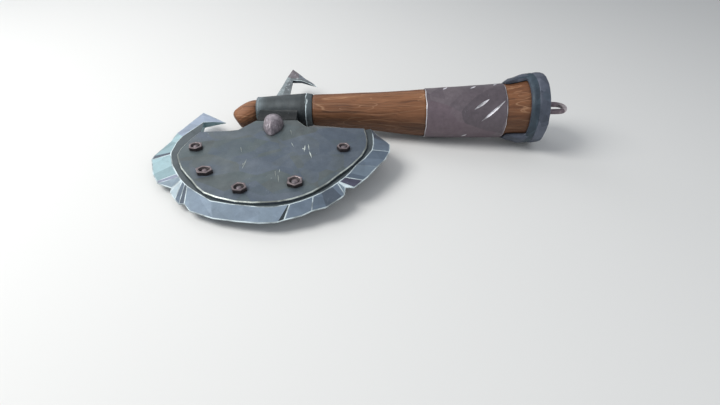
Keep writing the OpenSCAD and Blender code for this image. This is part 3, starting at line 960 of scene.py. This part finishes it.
def make_bolt(index, iron, wear_highlight):
    """Bolt with a domed end in its nut and a chamfered hexagon head under the lower cheek."""
    node = f"plate_bolt_{index}"
    centre = node_centre(node)
    low, high = node_box(node)
    _, long, wide = NUTS[index - 1]
    shank = 4.7 * min(long, wide) + 0.2
    seat = -CHEEK_TOP
    # Level, radius if round, share of the hexagon if not, slot after it
    profile = [
        [high.z + 0.3, 0.6, 0, 0], [high.z + 0.1, 2.4, 0, 0], [high.z - 0.7, shank - 0.5, 0, 0],
        [high.z - 1.4, shank, 0, 0], [seat, shank, 0, 0], [seat, 0, 1.0, 0], [seat - 0.4, 0, 1.03, 0],
        [low.z + 1.6, 0, 1.0, 1], [low.z + 1.1, 0, 0.97, 0], [low.z, 0, 0.84, 0], [low.z - 0.2, 0, 0.4, 0]]
    shape = Shape()
    rings = []
    for level, shank_radius, hexagon_share, _ in profile:
        def radius(angle):
            worn_in = 1 + 0.03 * rough_value(index + 20, angle / 60, level / 7)
            return shank_radius or hex_radius(angle, FLATS) * hexagon_share * worn_in
        rings.append(polar(centre, radius, level, 48, turn=index * 17))
    shape.loft(rings, [row[3] for row in profile])
    shape.piece(f"bolt_{index}", [node], "bolt_iron", [iron, wear_highlight], 38)


def make_stud(iron):
    """Egg-shaped boss pointing to the edge, its shank, and the peened end under the rove."""
    axis = node_centre("stud_rove")
    low, high = node_box("socket_stud")
    seat = CHEEK_TOP - 0.5
    height = high.z - seat
    back, toe, half = 15.4, axis.y - low.y + 2, 15.2
    sides, steps = 48, 10
    rings = [polar(axis, radius, level, sides)
             for level, radius in ((low.z, 8.6), (low.z + 0.8, 9.6), (low.z + 3, 7.0), (seat, 7.0))]
    for k in range(steps + 1):
        lean = math.radians(88 * k / steps)
        size, level = math.cos(lean) ** 0.85, seat + height * math.sin(lean)
        middle = -6 * math.sin(lean)
        ring = []
        for j in range(sides):
            t = math.tau * j / sides
            c, s = math.cos(t), math.sin(t)
            x = half * math.copysign(abs(c) ** (1.0 if s > 0 else 1.5), c)
            y = back * s if s > 0 else toe * s
            hit = 1 + 0.035 * rough_value(31, x / 7, y / 7, level / 7)
            ring.append((axis.x + x * size * hit, axis.y + middle + (y - middle) * size * hit, level))
        rings.append(ring)
    shape = Shape()
    shape.loft(rings)
    stud = shape.piece("stud_hammered", ["socket_stud"], "stud_iron", [iron])
    planes = stud.modifiers.new("hammered planes", "DECIMATE")
    planes.ratio = 0.42
    apply_modifiers(stud)


def make_rove(iron):
    """Dished washer under the stud's peened end."""
    low, high = node_box("stud_rove")
    profile = [[high.z, 7.2], [high.z, 12.6], [high.z - 0.7, 13.1], [low.z + 0.9, 13.0],
               [low.z, 11.9], [low.z + 0.3, 8.6], [low.z + 0.5, 7.2]]
    rings = []
    for level, radius in profile:
        rings.append(polar(node_centre("stud_rove"), lambda a: radius * (1 + 0.02 * rough_value(41, a / 40)),
                           level, 45))
    shape = Shape()
    shape.loft(rings, wrap=True)
    shape.piece("rove_dished", ["stud_rove"], "stud_iron", [iron], 35)


# ---------------- the back spike

def make_spike(toned, wear_highlight):
    """Hooked spike: flat in its shaft, thinned to its apex and its beak, with a ridge along it."""
    # Corners about the eye's middle, and half the thickness there
    outline = [
        [-26, 15, 3.0], [-15, 80, 3.0], [-10, 118, 2.6], [-4, 155, 0.8], [8, 137, 1.6], [24, 112, 1.6],
        [37, 97, 1.2], [47, 82, 0.4], [33, 92, 1.8], [17, 103, 2.6], [1, 104, 3.0], [1, 60, 3.0],
        [2, 15, 3.0]]
    ridge = [[-12, 15, 3.6], [-8, 80, 3.6], [-3, 112, 3.4], [12, 112, 3.0], [34, 95, 2.0]]
    # Facet tones: left is painted light on the facets that face the light, low is painted shade on the side
    # walls and under the beak
    tones = {"left": (142, 152, 155), "mid": (112, 119, 122), "top": (116, 109, 114),
             "beak": (120, 126, 134), "low": (56, 64, 72)}
    # Tone, then corners: 0 to 12 round the outline and 13 to 17 along the ridge
    facets = [
        ["left", 0, 1, 14, 13], ["left", 1, 2, 15, 14], ["top", 2, 3, 15], ["top", 3, 4, 16, 15],
        ["beak", 4, 5, 16], ["beak", 5, 6, 17, 16], ["beak", 6, 7, 17], ["low", 7, 8, 17],
        ["mid", 8, 9, 16, 17], ["mid", 9, 10, 15, 16], ["mid", 10, 11, 14, 15], ["mid", 11, 12, 13, 14]]
    shape = Shape()
    last, root = len(outline) - 1, len(outline)
    upper, lower = ([shape.point(x, y, side * half) for x, y, half in
                     [(*about_eye(c[:2]), c[2]) for c in outline + ridge]] for side in (1, -1))
    for points in (upper, lower):
        for tone, *corners in facets:
            shape.face([points[c] for c in corners], 0, tones[tone])
        # Bright edges of wear and painted highlight, wider along the upper left where the light falls
        for k in range(last):
            shape.line(points[k], points[k + 1], 0.8 if k < 6 else 0.35)
    for k in range(last):
        shape.face([upper[k], lower[k], lower[k + 1], upper[k + 1]], 0, tones["low"])
    shape.face([upper[last], lower[last], lower[root], lower[0], upper[0], upper[root]], 0, tones["low"])
    bevel_wear_highlight_edges(shape.piece("spike_forged", ["back_spike"], "spike_steel", [toned, wear_highlight]), 1.3)


# ---------------- the grip sleeve

# The sleeve's outer radius at its far and near ends, and its wall
SLEEVE_FAR_R, SLEEVE_NEAR_R = 39.2, 43.4
SLEEVE_WALL = 1.9


def make_sleeve(iron, wear_highlight):
    """Sheet-iron sleeve with hammered, uneven ends, two deep gouges and some nicks."""
    far_x, near_x = sleeve_low.x, sleeve_high.x
    length = near_x - far_x

    def skin(x):
        return SLEEVE_FAR_R + (SLEEVE_NEAR_R - SLEEVE_FAR_R) * (x - far_x) / length

    def ring(share, inside=False):
        x = far_x + share * length

        def station(angle):
            t = math.radians(angle)
            ragged = 0.9 * rough_value(51, angle / 21) * (abs(share - 0.5) > 0.45)
            beaten = 0.35 * rough_value(52, x / 19, math.cos(t) * 2.2, math.sin(t) * 2.2)
            rolled = 0.5 if share in (0, 1) else 0
            return (x + ragged, angle, skin(x) + (-SLEEVE_WALL if inside else beaten - rolled))
        return ring_about_haft(station, 120)

    shares = [0, 0.006, 0.02] + [k / 24 for k in range(1, 24)] + [0.98, 0.994, 1]
    shape = Shape()
    # The two end bands take the bright material: wear and a painted highlight along the rims
    shape.loft([ring(share) for share in shares] + [ring(1, True), ring(0, True)],
               [1 if share in (0, 0.994) else 0 for share in shares] + [0, 0], wrap=True)
    sleeve = shape.piece("sleeve_beaten", ["grip_sleeve"], "sleeve_iron", [iron, wear_highlight], 40)
    gouges = Shape()
    # Start and end as station and angle, then width and depth
    marks = [[(-106, 33), (-82, 55), 4.6, 1.1], [(-95, 6), (-57, 50), 4.4, 1.2],
             [(-152, 92), (-144, 106), 4.0, 1.6], [(-110, 88), (-99, 100), 4.0, 1.6],
             [(-72, 97), (-64, 110), 4.0, 1.6], [(-140, 210), (-118, 228), 4.2, 1.6],
             [(-96, 250), (-84, 262), 3.8, 1.4], [(-120, 318), (-112, 330), 3.6, 1.4]]
    for start, end, width, depth in marks:
        haft_gouge(gouges, start, end, skin, width, depth)
    cut(sleeve, gouges, wear_highlight)


# ---------------- the pommel cap and its loop

BARREL_R = 56.0
LEG_PITCH = 26.0
WIRE_R = 4.3
# Stations of the lip's far end in a window and of a lobe's end, half the angle of a window, and its middle
LIP_FAR, LOBE_END = -17.5, -51.0
WINDOW_HALF, WINDOW_MIDDLE = 65.0, 35.0
# Stations of the ring's outer face and of the cap's floor, which the butt sits on
CAP_FACE, CAP_FLOOR = 9.2, 3.3


def lobe_share(angle):
    """1 on the cap's two lobes and 0 in its two windows."""
    off = abs((angle - WINDOW_MIDDLE + 90) % 180 - 90)
    return min(max((off - WINDOW_HALF + 2.5) / 5, 0), 1)


# The cap's outer skin on its lobes and in its windows, and its inside round the flare: station, radius
LOBE_SKIN = [[-52, 46.2], [-44, 48.6], [-36, 51.0], [-28, 53.4], [-20, 54.8], [-14, 55.2], [-8.5, 55.4]]
LIP_SKIN = [[-19, 51.6], [-17, 52.4], [-14, 53.6], [-8.5, 54.4]]
FLARE = [[-54, 42.2], [-38, 43.8], [-16, 47.8], [3, 49.3]]


def cap_section(angle):
    """The cap's section at an angle: points from the skirt's end over the ring and back up the inside."""
    share = lobe_share(angle)
    ragged = rough_value(61, angle / 16)
    end = LIP_FAR - 1.5 + (LOBE_END - LIP_FAR + 1.5) * share + 2.4 * ragged * share
    # Station, radius, and how lumpy the forging is there
    section = []
    for k in range(6):
        x = end + (-11.5 - end) * k / 5
        skin = between(LOBE_SKIN, x)[0] * share + between(LIP_SKIN, x)[0] * (1 - share)
        section.append((x, skin - (1.2 if k == 0 else 0), 1.6 * share + 0.5))
    section += [
        (-8.8, 54.9, 0.6), (-8.2, 54.7, 0.4), (-7.2, BARREL_R - 0.6 + 0.6 * ragged, 1.4),
        (-3.0, BARREL_R + 0.2, 1.9), (3.0, BARREL_R, 2.0), (7.4 + 1.2 * ragged, BARREL_R - 1.0, 1.4),
        (9.0, BARREL_R - 3.6, 0.8), (CAP_FACE, 30.0, 0), (CAP_FACE, 0, 0), (CAP_FLOOR, 0, 0),
        (CAP_FLOOR, 49.2, 0)]
    for k in range(5, -1, -1):
        x = end + (LIP_FAR - end) * k / 5
        section.append((x, between(FLARE, x)[0], 0))
    across, up = math.cos(math.radians(angle)) * 3.4, math.sin(math.radians(angle)) * 3.4
    return [about_haft(x, angle, radius + lumpy * rough_value(62, x / 14, across, up))
            for x, radius, lumpy in section]


def make_cap(lip, barrel, wear_highlight):
    """Forged cap: a heavy ring with a sloping lip, a closed end and two lobes that hold the flare."""
    sides = 180
    shape = Shape()
    angles = [360 * j / sides for j in range(sides)]
    index = [[shape.point(*p) for p in cap_section(angle)] for angle in angles]
    count = len(index[0])
    for j, angle in enumerate(angles):
        here, there = index[j], index[(j + 1) % sides]
        for k in range(count):
            n = (k + 1) % count
            sloping = k in (4, 5, 6) or (lobe_share(angle) < 0.5 and k < 4)
            shape.face([here[k], there[k], there[n], here[n]], 0 if sloping else 1)
    cap = shape.piece("cap_forged", ["pommel_cap"], "cap_steel", [lip, barrel, wear_highlight], 32)
    holes = Shape()
    bore = WIRE_R + 0.2
    shift = between(WANDER, 9)
    for side in (-1, 1):
        y = side * LEG_PITCH / 2
        holes.loft([[(x, y + shift[0] + bore * math.cos(t), shift[1] + bore * math.sin(t))
                     for t in [math.tau * k / 20 for k in range(20)]] for x in (1, 12)])
    cut(cap, holes, barrel)


def make_loop(iron, wear_highlight):
    """Staple of round bar: two legs driven through the cap and a bow rubbed bright by wear, with a painted
    highlight.
    """
    low, high = node_box("lanyard_loop")
    half = LEG_PITCH / 2
    bow_x = high.x - WIRE_R - half
    leg = [low.x + (bow_x - low.x) * k / 10 for k in range(10)]
    bow = [(bow_x + half * math.sin(t), -half * math.cos(t)) for t in [math.pi * k / 16 for k in range(17)]]
    path = [(x, -half) for x in leg] + bow + [(x, half) for x in leg[::-1]]
    shift = between(WANDER, 20)
    rings = []
    for k, (x, y) in enumerate(path):
        ahead, behind = path[min(k + 1, len(path) - 1)], path[max(k - 1, 0)]
        heading = Vector((ahead[0] - behind[0], ahead[1] - behind[1], 0)).normalized()
        radius = WIRE_R * (1 + 0.05 * rough_value(71, k / 3)) * (0.97 if x > bow_x else 1)
        pinch = 1 - 0.10 * max(0, min(1, (x - 10) / 30))
        rings.append([
            (x - heading.y * radius * math.cos(t), y * pinch + shift[0] + heading.x * radius * math.cos(t),
             shift[1] + radius * math.sin(t))
            for t in [math.tau * j / 20 for j in range(20)]])
    shape = Shape()
    shape.loft(rings, [1 if x > bow_x + LEG_PITCH * 0.22 else 0 for x, _ in path])
    shape.piece("loop_drawn", ["lanyard_loop"], "loop_iron", [iron, wear_highlight], 60)


# ---------------- the whole axe

# Bright edge materials: metal rubbed bare by wear, partly painted highlights where edges catch the light
steel_wear_highlight = worn_and_highlit_edge("steel_wear_highlight", (208, 222, 226))
iron_wear_highlight = worn_and_highlit_edge("iron_wear_highlight", (158, 144, 144))
plate_wear_highlight = worn_and_highlit_edge("plate_wear_highlight", (196, 204, 198))
white_wear_highlight = worn_and_highlit_edge("white_wear_highlight", (240, 238, 244))
bow_wear_highlight = worn_and_highlit_edge("bow_wear_highlight", (196, 184, 186))

wood = carved_wood("oiled_wood")
plate_steel = forged_metal("plate_steel", [(83, 90, 91), (84, 95, 98), (79, 90, 103), (88, 98, 109),
                                           (86, 94, 95)],
                           patch=15.0, speckle=0.13, crisp=0.54, corner_shade=(0.024, 0.3))
toned_steel = forged_metal("toned_steel", [(140, 150, 160), (150, 160, 170)], patch=26.0, toned=True,
                           rough=(0.34, 0.52), speckle=0.08, corner_shade=(0.006, 0.6))
spike_toned = forged_metal("spike_toned", [(140, 150, 160), (150, 160, 170)], patch=60.0, toned=True,
                           speckle=0.42, corner_shade=(0.006, 0.5), spots=(196, 200, 204))
collar_steel = forged_metal("collar_steel", [(66, 76, 80), (78, 88, 92)], patch=20.0, toned=True,
                            rough=(0.46, 0.66), corner_shade=(0.012, 0.22))
bolt_iron = forged_metal("bolt_iron", [(92, 86, 90), (112, 104, 110), (124, 112, 116)], patch=90.0,
                         speckle=0.25)
nut_iron = forged_metal("nut_iron", [(100, 90, 94), (114, 104, 108), (126, 114, 117)], patch=110.0,
                        speckle=0.28, corner_shade=(0.006, 0.35))
# Painted shade for the nuts' sides and dishes
nut_side = forged_metal("nut_side", [(50, 44, 46), (66, 58, 60)], patch=110.0, speckle=0.2, corner_shade=(0.006, 0.3))
stud_iron = forged_metal("stud_iron", [(112, 104, 112), (134, 126, 132), (152, 144, 150)], patch=60.0,
                         speckle=0.36, dents=0.001, dent_scale=160.0, spots=(190, 184, 190))
sleeve_iron = forged_metal("sleeve_iron", [(94, 86, 92), (105, 96, 102), (116, 107, 112), (108, 95, 102)],
                           patch=13.0, dents=0.0004)
cap_barrel = forged_metal("cap_barrel", [(70, 76, 88), (82, 88, 102), (94, 100, 114), (74, 84, 96)],
                          patch=34.0, dents=0.0014, dent_scale=46.0)
cap_lip = forged_metal("cap_lip", [(48, 60, 71), (62, 77, 89), (54, 66, 76)], patch=40.0)
loop_iron = forged_metal("loop_iron", [(120, 106, 112), (146, 132, 136), (112, 98, 106)], patch=90.0)

add_camera()
add_lights()

# Scratches on the upper cheek, about the eye's middle: start, end, width
TOP_SCRATCHES = [
    [(17, -76), (21, -93), 1.1], [(39, -128), (45, -131), 1.0], [(43, -119), (43, -137), 1.3],
    [(47, -116), (50, -134), 0.9], [(50, -135), (55, -152), 1.4], [(8, -182), (11, -197), 0.9],
    [(13, -191), (16, -208), 1.2], [(14, -178), (14, -188), 0.7], [(-49, -124), (-45, -138), 1.1],
    [(-35, -154), (-37, -178), 1.2], [(-38, -163), (-38, -171), 0.7], [(22, -112), (27, -124), 0.6]]
LOW_SCRATCHES = [
    [(-70, -120), (-60, -132), 1.2], [(20, -110), (32, -98), 1.1], [(60, -150), (72, -140), 1.3],
    [(-10, -180), (4, -188), 1.1], [(-44, -160), (-36, -150), 0.9], [(90, -100), (98, -112), 1.0]]

make_haft(wood)
make_socket(collar_steel, steel_wear_highlight)
make_blade(toned_steel, steel_wear_highlight)
make_cheek("cheek_upper", "cheek_plate_upper", 1, plate_steel, plate_wear_highlight, TOP_SCRATCHES)
make_cheek("cheek_lower", "cheek_plate_lower", -1, plate_steel, plate_wear_highlight, LOW_SCRATCHES)
for number in range(1, 6):
    make_nut(number, nut_iron, nut_side, iron_wear_highlight)
    make_bolt(number, bolt_iron, iron_wear_highlight)
make_stud(stud_iron)
make_rove(bolt_iron)
make_spike(spike_toned, steel_wear_highlight)
make_sleeve(sleeve_iron, white_wear_highlight)
make_cap(cap_lip, cap_barrel, steel_wear_highlight)
make_loop(loop_iron, bow_wear_highlight)

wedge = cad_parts["haft_wedge"]
wedge.data.materials.clear()
wedge.data.materials.append(bolt_iron)


def add_floor():
    """Pale floor under the axe as it would lie on a bench: on its cap, its tip and its lower bolts."""
    slope_x, slope_y = -0.061, -0.060   # the plane through those three, in the axe's own frame
    depsgraph = bpy.context.evaluated_depsgraph_get()
    lowest = min(
        (v.co.z - slope_x * v.co.x - slope_y * v.co.y)
        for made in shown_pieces() for v in made.evaluated_get(depsgraph).data.vertices)
    reach = 6.0
    mesh = bpy.data.meshes.new("floor")
    corners = [(-reach, -reach), (reach, -reach), (reach, reach), (-reach, reach)]
    mesh.from_pydata([(x, y, lowest + slope_x * x + slope_y * y) for x, y in corners], [], [(0, 1, 2, 3)])
    floor = add_object("floor", mesh)
    g = Graph("pale_floor")
    g.set("Base Color", srgb(226, 226, 224))
    g.set("Roughness", 0.9)
    mesh.materials.append(g.material)
    floor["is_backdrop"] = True


add_floor()
